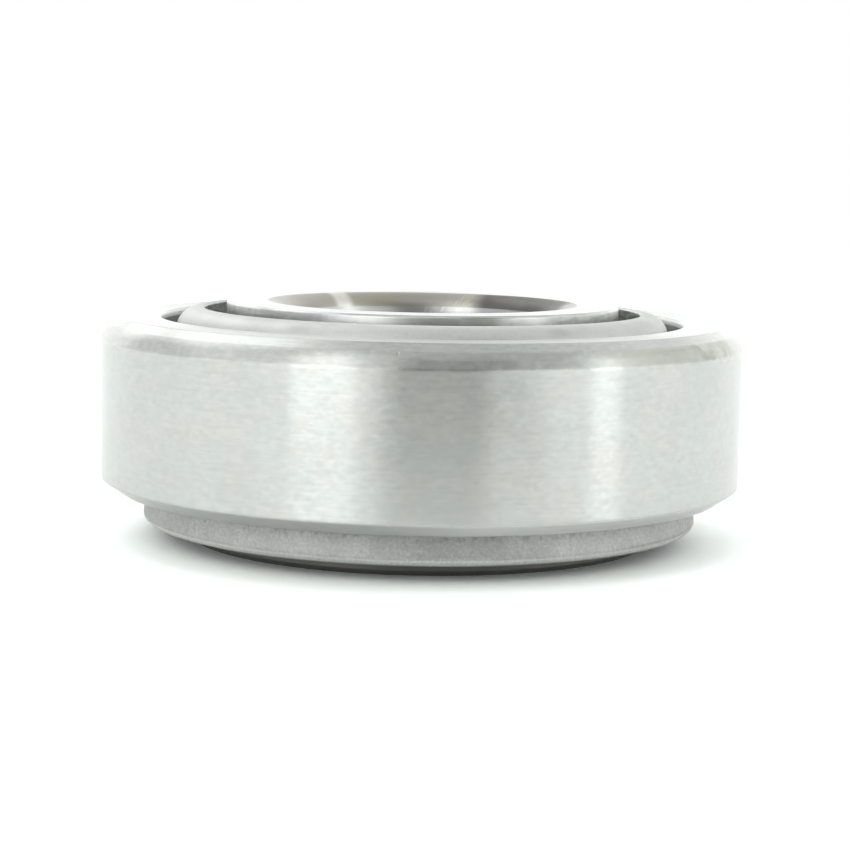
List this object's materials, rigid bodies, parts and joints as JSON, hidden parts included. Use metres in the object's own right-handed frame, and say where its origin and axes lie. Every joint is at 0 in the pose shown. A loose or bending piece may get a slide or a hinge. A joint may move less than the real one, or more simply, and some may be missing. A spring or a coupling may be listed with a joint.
{
  "type": "tapered roller bearing",
  "caption": "Single-row tapered roller bearing: ground outer ring, stepped inner ring, tapered rollers in a pressed steel cage, standing small end up.",
  "frame": {"origin": "centre of the inner ring's back face, which the bearing stands on, at the bottom", "axes": "+Z along the axis of rotation, from the large ends of the rollers to their small ends; +X through the axis of the first roller"},
  "size_m": [0.0452, 0.0452, 0.0166],
  "materials": {
    "ground_steel": "fine circumferential grinding, bright",
    "cage_steel": "matt, shot-blasted pressed sheet",
    "roller_steel": "superfinished"
  },
  "bodies": {
    "inner_ring": {"inner_ring": "ground_steel"},
    "outer_ring": {"outer_ring": "ground_steel"},
    "cage": {"cage": "cage_steel"},
    "roller_01": {"roller_01": "roller_steel"},
    "roller_02": {"roller_02": "roller_steel"},
    "roller_03": {"roller_03": "roller_steel"},
    "roller_04": {"roller_04": "roller_steel"},
    "roller_05": {"roller_05": "roller_steel"},
    "roller_06": {"roller_06": "roller_steel"},
    "roller_07": {"roller_07": "roller_steel"},
    "roller_08": {"roller_08": "roller_steel"},
    "roller_09": {"roller_09": "roller_steel"},
    "roller_10": {"roller_10": "roller_steel"},
    "roller_11": {"roller_11": "roller_steel"},
    "roller_12": {"roller_12": "roller_steel"},
    "roller_13": {"roller_13": "roller_steel"},
    "roller_14": {"roller_14": "roller_steel"},
    "roller_15": {"roller_15": "roller_steel"},
    "roller_16": {"roller_16": "roller_steel"},
    "roller_17": {"roller_17": "roller_steel"}
  },
  "joints": [
    {"name": "outer_ring_spin", "type": "hinge", "parent": "inner_ring", "child": "outer_ring", "pos_m": [0, 0, 0.00946], "axis": [0, 0, 1], "continuous": true},
    {"name": "cage_spin", "type": "hinge", "parent": "inner_ring", "child": "cage", "pos_m": [0, 0, 0.00877], "axis": [0, 0, 1], "continuous": true},
    {"name": "roller_01_spin", "type": "hinge", "parent": "cage", "child": "roller_01", "pos_m": [0.01692, 0, 0.00877], "axis": [-0.1689, 0, 0.9856], "continuous": true},
    {"name": "roller_02_spin", "type": "hinge", "parent": "cage", "child": "roller_02", "pos_m": [0.01578, 0.00611, 0.00877], "axis": [-0.1575, -0.061, 0.9856], "continuous": true},
    {"name": "roller_03_spin", "type": "hinge", "parent": "cage", "child": "roller_03", "pos_m": [0.01251, 0.0114, 0.00877], "axis": [-0.1248, -0.1138, 0.9856], "continuous": true},
    {"name": "roller_04_spin", "type": "hinge", "parent": "cage", "child": "roller_04", "pos_m": [0.00754, 0.01515, 0.00877], "axis": [-0.0753, -0.1512, 0.9856], "continuous": true},
    {"name": "roller_05_spin", "type": "hinge", "parent": "cage", "child": "roller_05", "pos_m": [0.00156, 0.01685, 0.00877], "axis": [-0.0156, -0.1682, 0.9856], "continuous": true},
    {"name": "roller_06_spin", "type": "hinge", "parent": "cage", "child": "roller_06", "pos_m": [-0.00463, 0.01628, 0.00877], "axis": [0.0462, -0.1625, 0.9856], "continuous": true},
    {"name": "roller_07_spin", "type": "hinge", "parent": "cage", "child": "roller_07", "pos_m": [-0.0102, 0.0135, 0.00877], "axis": [0.1018, -0.1348, 0.9856], "continuous": true},
    {"name": "roller_08_spin", "type": "hinge", "parent": "cage", "child": "roller_08", "pos_m": [-0.01439, 0.00891, 0.00877], "axis": [0.1436, -0.0889, 0.9856], "continuous": true},
    {"name": "roller_09_spin", "type": "hinge", "parent": "cage", "child": "roller_09", "pos_m": [-0.01663, 0.00311, 0.00877], "axis": [0.166, -0.031, 0.9856], "continuous": true},
    {"name": "roller_10_spin", "type": "hinge", "parent": "cage", "child": "roller_10", "pos_m": [-0.01663, -0.00311, 0.00877], "axis": [0.166, 0.031, 0.9856], "continuous": true},
    {"name": "roller_11_spin", "type": "hinge", "parent": "cage", "child": "roller_11", "pos_m": [-0.01439, -0.00891, 0.00877], "axis": [0.1436, 0.0889, 0.9856], "continuous": true},
    {"name": "roller_12_spin", "type": "hinge", "parent": "cage", "child": "roller_12", "pos_m": [-0.0102, -0.0135, 0.00877], "axis": [0.1018, 0.1348, 0.9856], "continuous": true},
    {"name": "roller_13_spin", "type": "hinge", "parent": "cage", "child": "roller_13", "pos_m": [-0.00463, -0.01628, 0.00877], "axis": [0.0462, 0.1625, 0.9856], "continuous": true},
    {"name": "roller_14_spin", "type": "hinge", "parent": "cage", "child": "roller_14", "pos_m": [0.00156, -0.01685, 0.00877], "axis": [-0.0156, 0.1682, 0.9856], "continuous": true},
    {"name": "roller_15_spin", "type": "hinge", "parent": "cage", "child": "roller_15", "pos_m": [0.00754, -0.01515, 0.00877], "axis": [-0.0753, 0.1512, 0.9856], "continuous": true},
    {"name": "roller_16_spin", "type": "hinge", "parent": "cage", "child": "roller_16", "pos_m": [0.01251, -0.0114, 0.00877], "axis": [-0.1248, 0.1138, 0.9856], "continuous": true},
    {"name": "roller_17_spin", "type": "hinge", "parent": "cage", "child": "roller_17", "pos_m": [0.01578, -0.00611, 0.00877], "axis": [-0.1575, 0.061, 0.9856], "continuous": true}
  ],
  "couplings": [
    {"joint": "cage_spin", "follows": "outer_ring_spin", "ratio": 0.58072},
    {"joint": "roller_01_spin", "follows": "outer_ring_spin", "ratio": 2.9731},
    {"joint": "roller_02_spin", "follows": "outer_ring_spin", "ratio": 2.9731},
    {"joint": "roller_03_spin", "follows": "outer_ring_spin", "ratio": 2.9731},
    {"joint": "roller_04_spin", "follows": "outer_ring_spin", "ratio": 2.9731},
    {"joint": "roller_05_spin", "follows": "outer_ring_spin", "ratio": 2.9731},
    {"joint": "roller_06_spin", "follows": "outer_ring_spin", "ratio": 2.9731},
    {"joint": "roller_07_spin", "follows": "outer_ring_spin", "ratio": 2.9731},
    {"joint": "roller_08_spin", "follows": "outer_ring_spin", "ratio": 2.9731},
    {"joint": "roller_09_spin", "follows": "outer_ring_spin", "ratio": 2.9731},
    {"joint": "roller_10_spin", "follows": "outer_ring_spin", "ratio": 2.9731},
    {"joint": "roller_11_spin", "follows": "outer_ring_spin", "ratio": 2.9731},
    {"joint": "roller_12_spin", "follows": "outer_ring_spin", "ratio": 2.9731},
    {"joint": "roller_13_spin", "follows": "outer_ring_spin", "ratio": 2.9731},
    {"joint": "roller_14_spin", "follows": "outer_ring_spin", "ratio": 2.9731},
    {"joint": "roller_15_spin", "follows": "outer_ring_spin", "ratio": 2.9731},
    {"joint": "roller_16_spin", "follows": "outer_ring_spin", "ratio": 2.9731},
    {"joint": "roller_17_spin", "follows": "outer_ring_spin", "ratio": 2.9731}
  ]
}
